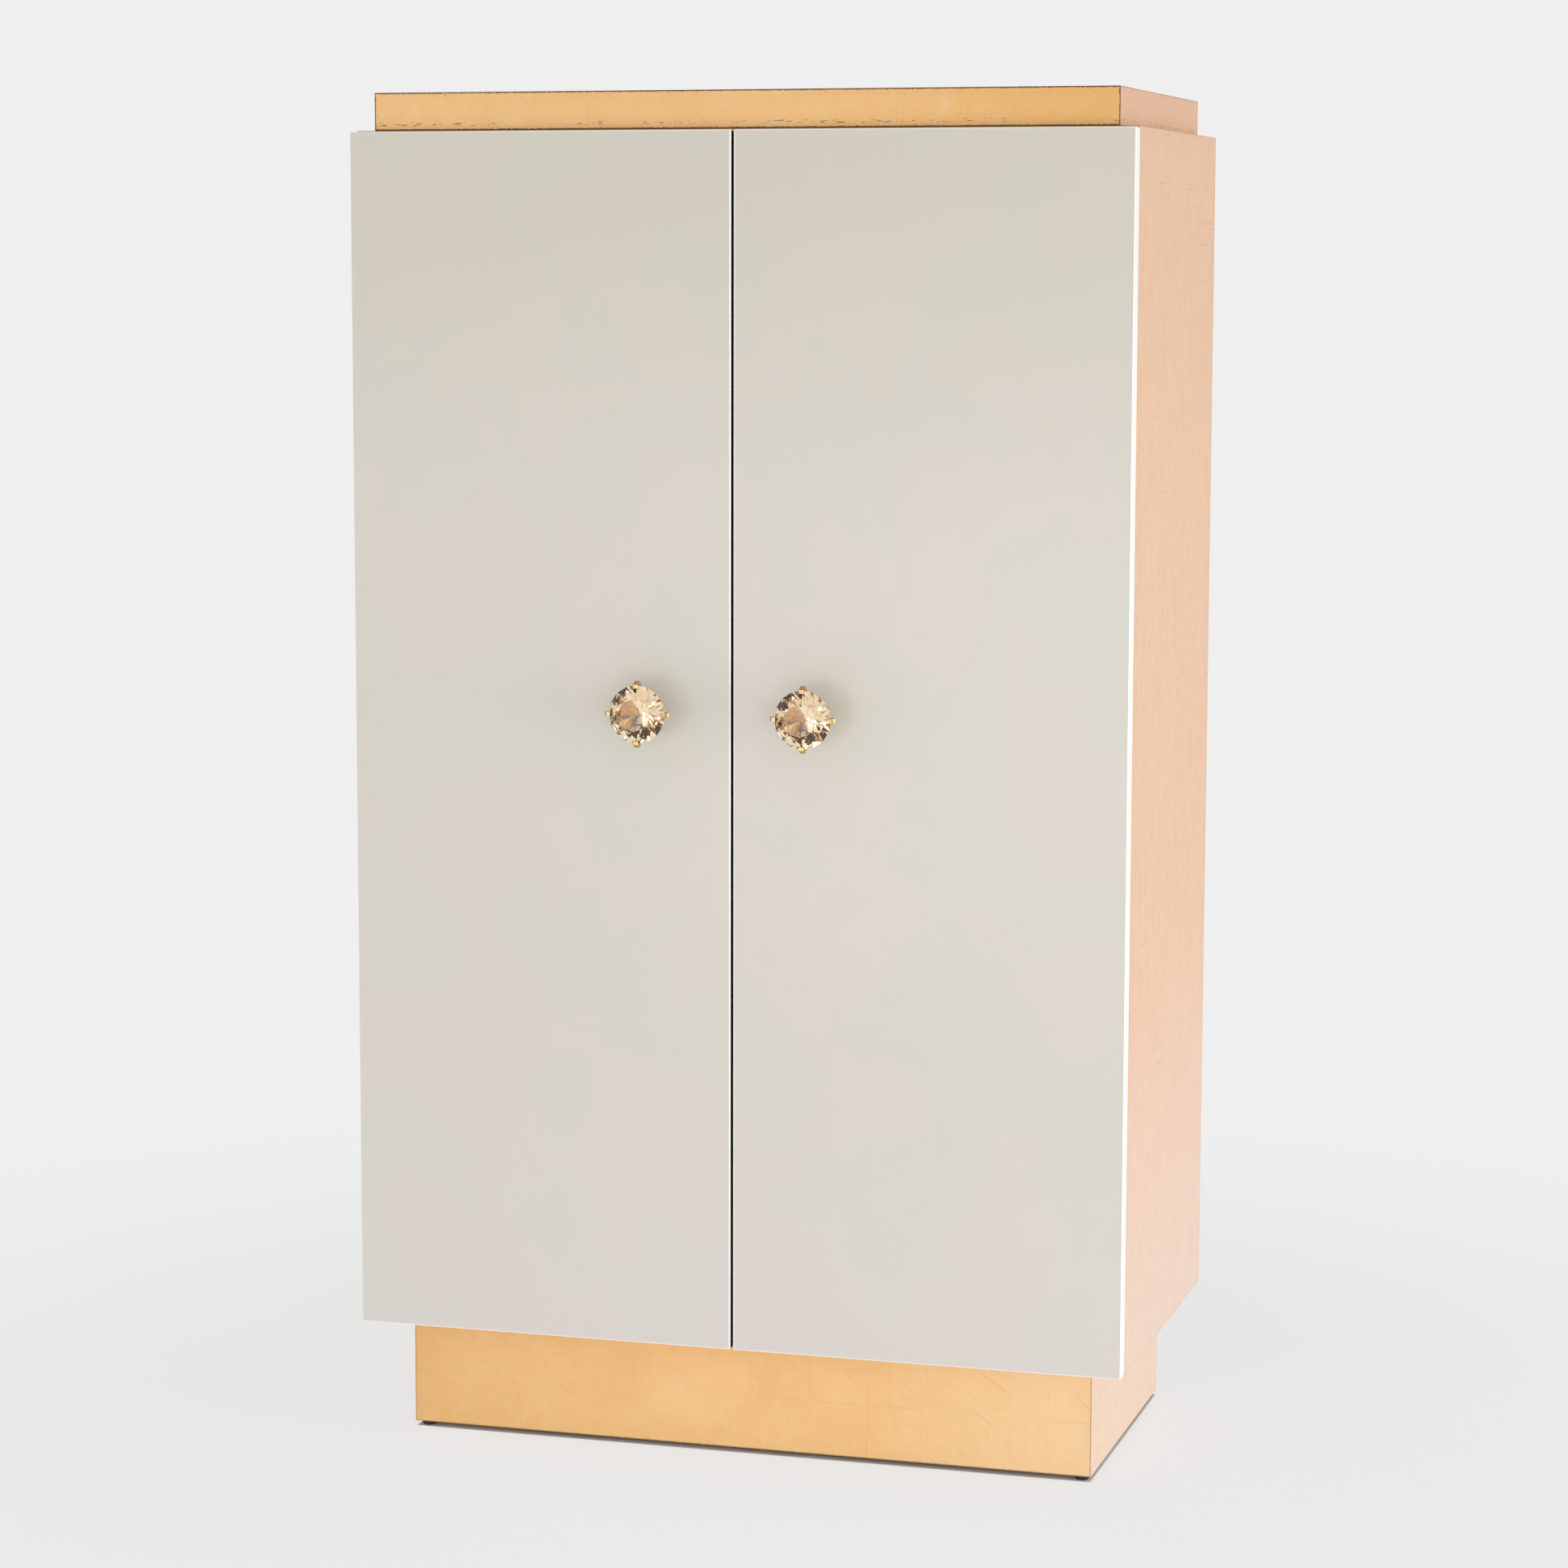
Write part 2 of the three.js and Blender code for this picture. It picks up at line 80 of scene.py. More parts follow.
# ------------------------------------------------------------------ node helpers
MIX_FACTOR, MIX_A, MIX_B, MIX_COLOR = 0, 6, 7, 2      # a colour mix node's sockets, by index


class Graph:
    """A small helper for building one material's or world's nodes."""

    def __init__(self, tree):
        self.tree = tree
        tree.nodes.clear()

    def node(self, kind, **values):
        n = self.tree.nodes.new(kind)
        for k, v in values.items():
            setattr(n, k, v)
        return n

    def feed(self, socket, value):
        if isinstance(value, bpy.types.NodeSocket):
            self.tree.links.new(value, socket)
        elif value is not None:
            socket.default_value = value

    def math(self, op, a, b=None):
        n = self.node("ShaderNodeMath", operation=op)
        self.feed(n.inputs[0], a)
        self.feed(n.inputs[1], b)
        return n.outputs[0]

    def vector(self, op, a, b=None):
        n = self.node("ShaderNodeVectorMath", operation=op)
        self.feed(n.inputs[0], a)
        self.feed(n.inputs[1], b)
        return n.outputs["Value"] if op == "LENGTH" else n.outputs[0]

    def split(self, v):
        n = self.node("ShaderNodeSeparateXYZ")
        self.feed(n.inputs[0], v)
        return n.outputs[0], n.outputs[1], n.outputs[2]

    def range(self, value, low, high, to_low=0.0, to_high=1.0):
        """Eases low..high into to_low..to_high, and holds the ends beyond it."""
        n = self.node("ShaderNodeMapRange", interpolation_type="SMOOTHSTEP")
        self.feed(n.inputs["Value"], value)
        for name, v in (("From Min", low), ("From Max", high), ("To Min", to_low), ("To Max", to_high)):
            self.feed(n.inputs[name], v)
        return n.outputs[0]

    def mix(self, factor, a, b):
        n = self.node("ShaderNodeMix", data_type="RGBA")
        self.feed(n.inputs[MIX_FACTOR], factor)
        self.feed(n.inputs[MIX_A], a)
        self.feed(n.inputs[MIX_B], b)
        return n.outputs[MIX_COLOR]

    def scaled(self, v, scale, turn=(0, 0, 0)):
        n = self.node("ShaderNodeMapping")
        self.feed(n.inputs["Vector"], v)
        n.inputs["Scale"].default_value = scale
        n.inputs["Rotation"].default_value = turn
        return n.outputs[0]

    def noise(self, v, scale, detail=3.0, rough=0.5, distort=0.0):
        n = self.node("ShaderNodeTexNoise")
        self.feed(n.inputs["Vector"], v)
        n.inputs["Scale"].default_value = scale
        n.inputs["Detail"].default_value = detail
        n.inputs["Roughness"].default_value = rough
        n.inputs["Distortion"].default_value = distort
        return n.outputs["Fac"]

    def bump(self, height, strength, distance):
        n = self.node("ShaderNodeBump")
        n.inputs["Strength"].default_value = strength
        n.inputs["Distance"].default_value = distance
        self.feed(n.inputs["Height"], height)
        return n.outputs[0]


def rgb(r, g, b):
    return (r, g, b, 1.0)


def new_material(name, **fixed):
    """A material with one Principled shader, and the graph that feeds it."""
    material = bpy.data.materials.new(name)
    material.use_nodes = True
    g = Graph(material.node_tree)
    out = g.node("ShaderNodeOutputMaterial")
    shader = g.node("ShaderNodeBsdfPrincipled")
    g.feed(out.inputs["Surface"], shader.outputs[0])
    for k, v in fixed.items():
        shader.inputs[k.replace("_", " ")].default_value = v
    coords = g.node("ShaderNodeTexCoord")
    return material, g, shader, coords


def edge_distance(g, position, low, high):
    """How far a point of a box's skin is from the nearest edge of that box."""
    centre, half = (low + high) / 2, (high - low) / 2
    away = g.vector("ABSOLUTE", g.vector("SUBTRACT", position, tuple(centre)))
    x, y, z = g.split(g.vector("SUBTRACT", tuple(half), away))
    most = g.math("MAXIMUM", g.math("MAXIMUM", x, y), z)
    least = g.math("MINIMUM", g.math("MINIMUM", x, y), z)
    total = g.math("ADD", g.math("ADD", x, y), z)
    return g.math("SUBTRACT", g.math("SUBTRACT", total, most), least)


# ------------------------------------------------------------------ materials
DEEP_GOLD = rgb(0.80, 0.46, 0.17)
SOFT_GOLD = rgb(0.95, 0.595, 0.262)
PALE_GOLD = rgb(0.97, 0.72, 0.44)
BURNT_GOLD = rgb(0.76, 0.40, 0.10)
ROSE_GOLD_REFLECTION = rgb(0.905, 0.568, 0.362)
DULL_ROSE_REFLECTION = rgb(0.865, 0.525, 0.325)
PINK_FLOOR_BOUNCE = rgb(0.96, 0.76, 0.645)
BRIGHT_PINK_BOUNCE = rgb(1.0, 0.80, 0.64)
DARK_GROUND = rgb(0.13, 0.055, 0.025)
LEAF_METAL = 0.42
LEAF_SIZE = 0.083


def make_gilt(name, low, high, wear, left_tone, right_tone, flank_reflection, floor_bounce):
    """Gold leaf over bole: soft mottling, faint laps between leaves, fine rubbing, worn specks and edges.

    The fronts run from left_tone to right_tone, and the flanks from a rose tone, a painted reflection, down
    to a paler foot tone, a painted reflection of the floor.
    """
    material, g, shader, coords = new_material(name)
    p = coords.outputs["Object"]
    sideways = g.math("ABSOLUTE", g.split(coords.outputs["Normal"])[0])
    flank = g.range(sideways, 0.3, 0.9)
    # the flanks take a rosier tone: a painted reflection of the surroundings in the side faces
    base = g.mix(flank, SOFT_GOLD, flank_reflection)
    # cloudy tone, a hand's width across, deeper towards the edges, and rosier on the flanks as part of the
    # painted reflection
    edge = edge_distance(g, p, low, high)
    cloud = g.range(g.noise(p, 9.0, 4.0, 0.55, 0.6), 0.32, 0.68)
    cloud_and_reflection_tone = g.mix(flank, rgb(0.84, 0.47, 0.17), rgb(0.84, 0.52, 0.31))
    base = g.mix(g.math("MULTIPLY", cloud, 0.42), base, cloud_and_reflection_tone)
    rim = g.range(g.math("ADD", edge, g.math("MULTIPLY", cloud, 0.03)), 0.055, 0.012)
    base = g.mix(g.math("MULTIPLY", rim, 0.26), base, rgb(0.74, 0.41, 0.15))
    x, _, z = g.split(p)
    reach = (high - low).x * 0.42
    # at the ends the fronts turn to their end tones, while the flanks keep the painted reflection
    left_end = g.math("MULTIPLY", g.range(x, low.x + reach, low.x), 0.5)
    base = g.mix(left_end, base, g.mix(flank, left_tone, flank_reflection))
    right_end = g.math("MULTIPLY", g.range(x, high.x - reach, high.x), 0.5)
    base = g.mix(right_end, base, g.mix(flank, right_tone, flank_reflection))
    # paler and pinker low down on the flanks: a painted reflection of the bright floor
    painted_floor_bounce = g.math("MULTIPLY", g.range(z, 0.85, 0.10), g.math("MULTIPLY", flank, 0.75))
    base = g.mix(painted_floor_bounce, base, floor_bounce)
    pale = g.range(g.noise(p, 31.0, 5.0, 0.6, 0.4), 0.50, 0.80)
    base = g.mix(g.math("MULTIPLY", pale, 0.20), base, rgb(0.98, 0.76, 0.49))
    olive = g.range(g.noise(p, 47.0, 4.0, 0.6, 0.8), 0.52, 0.76)
    base = g.mix(g.math("MULTIPLY", olive, 0.17), base, rgb(0.74, 0.44, 0.16))
    # laps where one leaf lies over the next
    bent = g.vector("ADD", p, g.vector("MULTIPLY", g.noise(p, 14.0, 2.0), (0.006, 0.006, 0.006)))
    across, deep, tall = g.split(bent)
    lap = None
    for v in (g.math("ADD", across, deep), tall):
        wrapped = g.math("ABSOLUTE", g.math("SUBTRACT", g.math("FRACT", g.math("DIVIDE", v, LEAF_SIZE)), 0.5))
        line = g.range(wrapped, 0.478, 0.496)
        lap = line if lap is None else g.math("MAXIMUM", lap, line)
    seen = g.range(g.noise(p, 6.5, 2.0), 0.50, 0.66)
    lap = g.math("MULTIPLY", g.math("MULTIPLY", lap, seen), g.range(flank, 0.0, 1.0, 1.0, 0.35))
    base = g.mix(g.math("MULTIPLY", lap, 0.14), base, rgb(0.62, 0.32, 0.13))
    # fine vertical rubbing, strongest on the flanks
    rub = g.noise(g.scaled(p, (560, 560, 30)), 1.0, 3.0, 0.65)
    rubbed = g.math("MULTIPLY", g.range(rub, 0.50, 0.74), g.range(flank, 0.0, 1.0, 0.10, 0.42))
    base = g.mix(rubbed, base, rgb(0.98, 0.79, 0.62))
    grain = g.math("MULTIPLY", g.range(rub, 0.48, 0.24), g.range(flank, 0.0, 1.0, 0.08, 0.22))
    base = g.mix(grain, base, rgb(0.60, 0.33, 0.18))
    wide_rub = g.noise(g.scaled(p, (130, 130, 11)), 1.0, 3.0, 0.6, 0.3)
    paler = g.math("MULTIPLY", g.range(wide_rub, 0.50, 0.72), g.math("MULTIPLY", flank, 0.32))
    base = g.mix(paler, base, rgb(0.96, 0.69, 0.47))
    darker = g.math("MULTIPLY", g.range(wide_rub, 0.48, 0.28), g.math("MULTIPLY", flank, 0.26))
    base = g.mix(darker, base, rgb(0.78, 0.46, 0.27))
    # hairline scratches lying on a slant, in a few rubbed places
    leaning = g.scaled(p, (1, 1, 1), (0, math.radians(-34), 0))
    slant = g.noise(g.scaled(leaning, (11, 11, 640)), 1.0, 2.0, 0.5)
    scratch = g.math("MULTIPLY", g.range(slant, 0.64, 0.69), g.range(g.noise(p, 5.0), 0.52, 0.62))
    base = g.mix(g.math("MULTIPLY", scratch, 0.34), base, rgb(0.50, 0.27, 0.12))
    # worn edges and specks, where the dark ground shows
    ragged = g.noise(p, 420.0, 4.0, 0.7)
    worn_width = 0.0026 + 0.0016 * wear
    inside_wear = g.math("SUBTRACT", edge, g.math("MULTIPLY", ragged, worn_width))
    worn = g.range(inside_wear, 0.0001, -0.0004)
    near = g.range(edge, 0.010, 0.001)
    speck_field = g.noise(p, 330.0, 3.0, 0.6)
    patch = g.noise(p, 21.0, 3.0, 0.6)
    limit = g.math("SUBTRACT", g.range(patch, 0.42, 0.70, 0.79, 0.70), g.math("MULTIPLY", near, 0.10))
    speck = g.range(g.math("SUBTRACT", speck_field, limit), 0.0, 0.02)
    worn = g.math("MULTIPLY", worn, g.range(flank, 0.0, 1.0, wear, wear * 0.28))
    bare = g.math("MAXIMUM", worn, g.math("MULTIPLY", speck, wear * 0.8))
    # on the most worn part, short dashes rubbed through just above the lower edge
    dash_field = g.noise(g.scaled(p, (95, 95, 560)), 1.0, 2.0, 0.6)
    height = g.math("SUBTRACT", z, low.z)
    band = g.math("MULTIPLY", g.range(height, 0.005, 0.007), g.range(height, 0.012, 0.009))
    here = g.range(g.noise(p, 13.0, 1.0), 0.46, 0.52)
    dash = g.math("MULTIPLY", g.math("MULTIPLY", g.range(dash_field, 0.60, 0.64), band), here)
    bare = g.math("MAXIMUM", bare, g.math("MULTIPLY", dash, max(0.0, 2 * wear - 1)))
    base = g.mix(bare, base, DARK_GROUND)
    g.feed(shader.inputs["Base Color"], base)
    metal = g.math("MULTIPLY", g.math("SUBTRACT", 1.0, bare), LEAF_METAL)
    g.feed(shader.inputs["Metallic"], metal)
    rough = g.range(g.noise(p, 55.0, 4.0, 0.6), 0.3, 0.7, 0.36, 0.50)
    g.feed(shader.inputs["Roughness"], g.math("ADD", rough, g.math("MULTIPLY", bare, 0.3)))
    fine = g.noise(p, 900.0, 2.0, 0.6)
    wide = g.noise(p, 60.0, 3.0, 0.5)
    relief = g.math("ADD", g.math("MULTIPLY", fine, 0.15), g.math("MULTIPLY", wide, 0.6))
    relief = g.math("SUBTRACT", relief, g.math("MULTIPLY", bare, 0.5))
    relief = g.math("ADD", relief, g.math("MULTIPLY", rub, 0.2))
    g.feed(shader.inputs["Normal"], g.bump(relief, 0.10, 0.0006))
    return material


def make_lacquer():
    """Sprayed satin lacquer: a warm grey with the faintest drift in hue, and a fine sprayed skin."""
    material, g, shader, coords = new_material("lacquer", Coat_Roughness=0.16, Coat_IOR=1.45)
    p = coords.outputs["Object"]
    drift = g.range(g.noise(p, 4.6, 3.0, 0.5, 0.4), 0.38, 0.62)
    base = g.mix(drift, rgb(0.682, 0.653, 0.575), rgb(0.712, 0.651, 0.584))
    mist = g.range(g.noise(p, 11.0, 4.0, 0.6), 0.4, 0.7)
    base = g.mix(g.math("MULTIPLY", mist, 0.35), base, rgb(0.688, 0.660, 0.585))
    x, _, z = g.split(p)
    # paler and cooler low down: painted light from the floor
    painted_floor_bounce = g.range(z, 0.75, 0.16)
    base = g.mix(g.math("MULTIPLY", painted_floor_bounce, 0.45), base, rgb(0.735, 0.692, 0.672))
    # darker high up: painted shade towards the top
    painted_top_shade = g.range(z, 1.25, 1.75)
    base = g.mix(g.math("MULTIPLY", painted_top_shade, 0.65), base, rgb(0.640, 0.598, 0.510))
    grime = g.range(g.noise(p, 140.0, 4.0, 0.65), 0.55, 0.80)
    base = g.mix(g.math("MULTIPLY", grime, 0.03), base, rgb(0.55, 0.50, 0.43))
    # a painted highlight on the door edges and eased arrises, and a painted shadow on the edges where the
    # doors meet
    nx, ny, _ = g.split(coords.outputs["Normal"])
    facing = g.math("ABSOLUTE", ny)
    from_middle = g.math("ABSOLUTE", x)
    # painted highlight: near-white on the edge faces, the eased arrises and the strip along the inner edges
    painted_edge_highlight = g.math("MAXIMUM", g.range(facing, 0.96, 0.80), g.range(from_middle, 0.0041, 0.0036))
    base = g.mix(painted_edge_highlight, base, rgb(0.97, 0.965, 0.93))
    # painted shadow: the edges where the doors meet are near-black, and rougher with no coat
    edgewise = g.range(g.math("ABSOLUTE", nx), 0.90, 0.97)
    painted_gap_shadow = g.math("MULTIPLY", g.range(from_middle, 0.0030, 0.0022), edgewise)
    base = g.mix(painted_gap_shadow, base, rgb(0.016, 0.010, 0.007))
    g.feed(shader.inputs["Base Color"], base)
    rough = g.range(g.noise(p, 24.0, 3.0), 0.3, 0.7, 0.33, 0.40)
    g.feed(shader.inputs["Roughness"], g.math("ADD", rough, g.math("MULTIPLY", painted_gap_shadow, 0.5)))
    g.feed(shader.inputs["Coat Weight"], g.range(painted_gap_shadow, 0.0, 1.0, 0.22, 0.0))
    peel = g.noise(p, 520.0, 2.0, 0.5)
    swell = g.noise(p, 24.0, 2.0, 0.5)
    relief = g.math("ADD", g.math("MULTIPLY", peel, 0.35), g.math("MULTIPLY", swell, 0.4))
    g.feed(shader.inputs["Normal"], g.bump(relief, 0.05, 0.0006))
    return material


def make_dark_wood(name, upright):
    """Open-grained wood, stained nearly black-brown and sealed with a thin satin finish.

    Its grain runs along Z where upright, and otherwise along X.
    """
    material, g, shader, coords = new_material(name, Coat_Weight=0.12, Coat_Roughness=0.3)
    p = coords.outputs["Object"]
    if not upright:
        x, y, z = g.split(p)
        turned_grain = g.node("ShaderNodeCombineXYZ")
        for socket, value in zip(turned_grain.inputs, (z, y, x)):
            g.feed(socket, value)
        p = turned_grain.outputs[0]
    bent = g.vector("ADD", p, g.vector("MULTIPLY", g.noise(p, 3.0, 3.0), (0.09, 0.05, 0.02)))
    figure = g.noise(g.scaled(bent, (34, 34, 1.6)), 1.0, 5.0, 0.6, 0.5)
    base = g.mix(g.range(figure, 0.3, 0.7), rgb(0.030, 0.014, 0.008), rgb(0.105, 0.052, 0.027))
    pore = g.noise(g.scaled(p, (900, 900, 22)), 1.0, 2.0, 0.5)
    open_pore = g.range(pore, 0.60, 0.74)
    base = g.mix(g.math("MULTIPLY", open_pore, 0.8), base, rgb(0.010, 0.005, 0.003))
    g.feed(shader.inputs["Base Color"], base)
    g.feed(shader.inputs["Roughness"], g.range(figure, 0.3, 0.7, 0.42, 0.58))
    relief = g.math("SUBTRACT", g.math("MULTIPLY", figure, 0.3), g.math("MULTIPLY", open_pore, 0.8))
    g.feed(shader.inputs["Normal"], g.bump(relief, 0.25, 0.0004))
    return material


def make_raw_wood():
    """Plain unstained board, as on the inside of the plinth."""
    material, g, shader, coords = new_material("raw_wood", Roughness=0.7)
    p = coords.outputs["Object"]
    figure = g.noise(g.scaled(p, (6, 40, 40)), 1.0, 5.0, 0.6, 0.6)
    base = g.mix(g.range(figure, 0.3, 0.7), rgb(0.42, 0.27, 0.15), rgb(0.60, 0.43, 0.27))
    g.feed(shader.inputs["Base Color"], base)
    g.feed(shader.inputs["Normal"], g.bump(figure, 0.2, 0.0005))
    return material


def make_crystal():
    """Champagne-tinted cut crystal."""
    material, g, shader, coords = new_material(
        "crystal", Transmission_Weight=1.0, IOR=1.62, Roughness=0.0)
    p = coords.outputs["Object"]
    swirl = g.range(g.noise(p, 22.0, 2.0), 0.3, 0.7)
    g.feed(shader.inputs["Base Color"], g.mix(swirl, rgb(1.0, 0.76, 0.48), rgb(1.0, 0.80, 0.54)))
    return material


def make_brass(name, deep, light):
    """Polished warm brass with fine handling marks."""
    material, g, shader, coords = new_material(name, Metallic=1.0)
    p = coords.outputs["Object"]
    cloud = g.range(g.noise(p, 120.0, 4.0, 0.6), 0.35, 0.7)
    base = g.mix(cloud, deep, light)
    spot = g.range(g.noise(p, 900.0, 2.0), 0.68, 0.74)
    base = g.mix(g.math("MULTIPLY", spot, 0.4), base, rgb(0.40, 0.22, 0.09))
    g.feed(shader.inputs["Base Color"], base)
    g.feed(shader.inputs["Roughness"], g.range(g.noise(p, 240.0, 3.0), 0.3, 0.7, 0.14, 0.28))
    g.feed(shader.inputs["Normal"], g.bump(g.noise(p, 700.0, 3.0), 0.06, 0.0003))
    return material


def make_steel():
    """Bright nickel plate, lightly brushed."""
    material, g, shader, coords = new_material("steel", Metallic=1.0)
    p = coords.outputs["Object"]
    brushed = g.noise(g.scaled(p, (1900, 75, 1900)), 1.0, 3.0, 0.6)
    base = g.mix(g.range(brushed, 0.3, 0.7), rgb(0.52, 0.52, 0.51), rgb(0.70, 0.70, 0.69))
    g.feed(shader.inputs["Base Color"], base)
    g.feed(shader.inputs["Roughness"], g.range(brushed, 0.3, 0.7, 0.22, 0.36))
    g.feed(shader.inputs["Normal"], g.bump(brushed, 0.08, 0.0003))
    return material


def make_nylon(name, low, high):
    """Moulded plastic with a fine spark-eroded texture."""
    material, g, shader, coords = new_material(name)
    p = coords.outputs["Object"]
    skin = g.noise(p, 1800.0, 2.0, 0.6)
    g.feed(shader.inputs["Base Color"], g.mix(g.range(skin, 0.3, 0.7), low, high))
    g.feed(shader.inputs["Roughness"], g.range(skin, 0.3, 0.7, 0.45, 0.6))
    g.feed(shader.inputs["Normal"], g.bump(skin, 0.15, 0.0003))
    return material


def union(*nodes):
    """The box round several CAD nodes."""
    boxes = [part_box(n) for n in nodes]
    low = Vector([min(b[0][i] for b in boxes) for i in range(3)])
    high = Vector([max(b[1][i] for b in boxes) for i in range(3)])
    return low, high


CASE_NODES = (
    "case_side_left", "case_side_right", "case_top_panel", "case_bottom_panel", "case_back_panel",
)
CAP_NODES = ("cap_front_rail", "cap_back_rail", "cap_left_rail", "cap_right_rail", "cap_board")
PLINTH_NODES = ("plinth_front", "plinth_back", "plinth_left", "plinth_right")
case_box = union(*CASE_NODES)
cap_box = union(*CAP_NODES)
plinth_box = union(*PLINTH_NODES)

case_gilt = make_gilt(
    "gilt_case", *case_box, wear=0.40,
    left_tone=SOFT_GOLD, right_tone=SOFT_GOLD, flank_reflection=ROSE_GOLD_REFLECTION, floor_bounce=PINK_FLOOR_BOUNCE,
)
cap_gilt = make_gilt(
    "gilt_cap", *cap_box, wear=0.92,
    left_tone=SOFT_GOLD, right_tone=BURNT_GOLD, flank_reflection=DULL_ROSE_REFLECTION, floor_bounce=PINK_FLOOR_BOUNCE,
)
plinth_gilt = make_gilt(
    "gilt_plinth", *plinth_box, wear=0.55,
    left_tone=DEEP_GOLD, right_tone=PALE_GOLD, flank_reflection=ROSE_GOLD_REFLECTION, floor_bounce=BRIGHT_PINK_BOUNCE,
)
lacquer = make_lacquer()
dark_wood = make_dark_wood("dark_wood", upright=True)
shelf_wood = make_dark_wood("shelf_wood", upright=False)
raw_wood = make_raw_wood()
crystal = make_crystal()
brass = make_brass("brass", rgb(0.52, 0.34, 0.15), rgb(0.72, 0.51, 0.26))
cup_brass = make_brass("cup_brass", rgb(0.58, 0.42, 0.16), rgb(0.84, 0.65, 0.27))
steel = make_steel()
black_nylon = make_nylon("black_nylon", rgb(0.008, 0.008, 0.008), rgb(0.022, 0.022, 0.022))
clear_rubber = make_nylon("buffer_rubber", rgb(0.45, 0.45, 0.42), rgb(0.58, 0.58, 0.55))


# ------------------------------------------------------------------ mesh helpers
def link_mesh(name, bm, materials):
    mesh = bpy.data.meshes.new(name)
    bm.to_mesh(mesh)
    bm.free()
    piece = bpy.data.objects.new(name, mesh)
    bpy.context.scene.collection.objects.link(piece)
    for m in materials:
        mesh.materials.append(m)
    return piece


SHARP_ANGLE = math.radians(50)
ROUNDED_ANGLE = math.radians(35)
FLAT_ANGLE = math.radians(1)
WELD_GAP = 0.00001
SLIVER_GAP = 0.00001
ACROSS_GAP = 1e-6        # an edge shorter than this along an axis lies across it
HULL_GAP = 1e-5

BOARD_RADIUS = 0.0009
SHELF_RADIUS = 0.0015
BLOCK_RADIUS = 0.0012
DOOR_ROUNDING = 0.0006
GLIDE_ROUNDING = 0.0004
FITTING_ROUNDING = 0.0003
HINGE_ROUNDING = 0.0002


def mark_sharp(bm):
    for edge in bm.edges:
        edge.smooth = edge.calc_face_angle(0) < SHARP_ANGLE


def weighted(piece):
    """Shades a piece smoothly by its larger faces, and keeps its sharp edges."""
    for polygon in piece.data.polygons:
        polygon.use_smooth = True
    modifier = piece.modifiers.new("weighted_normals", "WEIGHTED_NORMAL")
    modifier.keep_sharp = True
    return piece


def board(node, body, outside, inside=None, hull=None, inner_sides=(), radius=BOARD_RADIUS):
    """A board in the place of a CAD node, with rounded arrises.

    With a hull, only the arrises on that box's own edges are rounded, so flush neighbours show no seam.
    inner_sides lists the directions whose faces take the second material.
    """
    low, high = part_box(node)
    bm = bmesh.new()
    bmesh.ops.create_cube(bm, size=1.0)
    for v in bm.verts:
        v.co = Vector([low[i] if v.co[i] < 0 else high[i] for i in range(3)])

    def is_rounded(edge):
        if hull is None:
            return True
        run = edge.verts[0].co - edge.verts[1].co
        middle = (edge.verts[0].co + edge.verts[1].co) / 2
        on_hull = 0
        for i in range(3):
            if abs(run[i]) > ACROSS_GAP:
                continue
            if min(abs(middle[i] - hull[0][i]), abs(middle[i] - hull[1][i])) < HULL_GAP:
                on_hull += 1
        return on_hull == 2

    edges = [e for e in bm.edges if is_rounded(e)]
    if edges:
        bmesh.ops.bevel(bm, geom=edges, offset=radius, segments=3, profile=0.5, affect="EDGES")
    bm.normal_update()
    mark_sharp(bm)
    if inside is not None:
        for face in bm.faces:
            if any(face.normal.dot(Vector(d)) > 0.9 for d in inner_sides):
                face.material_index = 1
    materials = [outside] if inside is None else [outside, inside]
    piece = weighted(link_mesh(node + "_board", bm, materials))
    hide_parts(node)
    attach(piece, body)


def dress(node, material):
    """Gives a CAD node its material, welds its doubled points and shades it flat."""
    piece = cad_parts[node]
    piece.data.materials.clear()
    piece.data.materials.append(material)
    weld = piece.modifiers.new("weld", "WELD")
    weld.merge_threshold = WELD_GAP
    for polygon in piece.data.polygons:
        polygon.use_smooth = False


def rounded(node, body, material, width):
    """Stands for a CAD node with the same shape, each flat face in one piece and the edges rounded.

    Merging the triangles of a flat face first keeps the rounding from leaving slivers across it.
    """
    bm = bmesh.new()
    bm.from_mesh(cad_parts[node].data)
    bmesh.ops.remove_doubles(bm, verts=bm.verts[:], dist=WELD_GAP)
    bmesh.ops.dissolve_degenerate(bm, edges=bm.edges[:], dist=SLIVER_GAP)
    bmesh.ops.dissolve_limit(bm, angle_limit=FLAT_ANGLE, verts=bm.verts[:], edges=bm.edges[:])
    for face in bm.faces:
        face.smooth = False
    piece = link_mesh(node + "_rounded", bm, [material])
    rounding = piece.modifiers.new("bevel", "BEVEL")
    rounding.width = width
    rounding.segments = 2
    rounding.limit_method = "ANGLE"
    rounding.angle_limit = ROUNDED_ANGLE
    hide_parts(node)
    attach(piece, body)


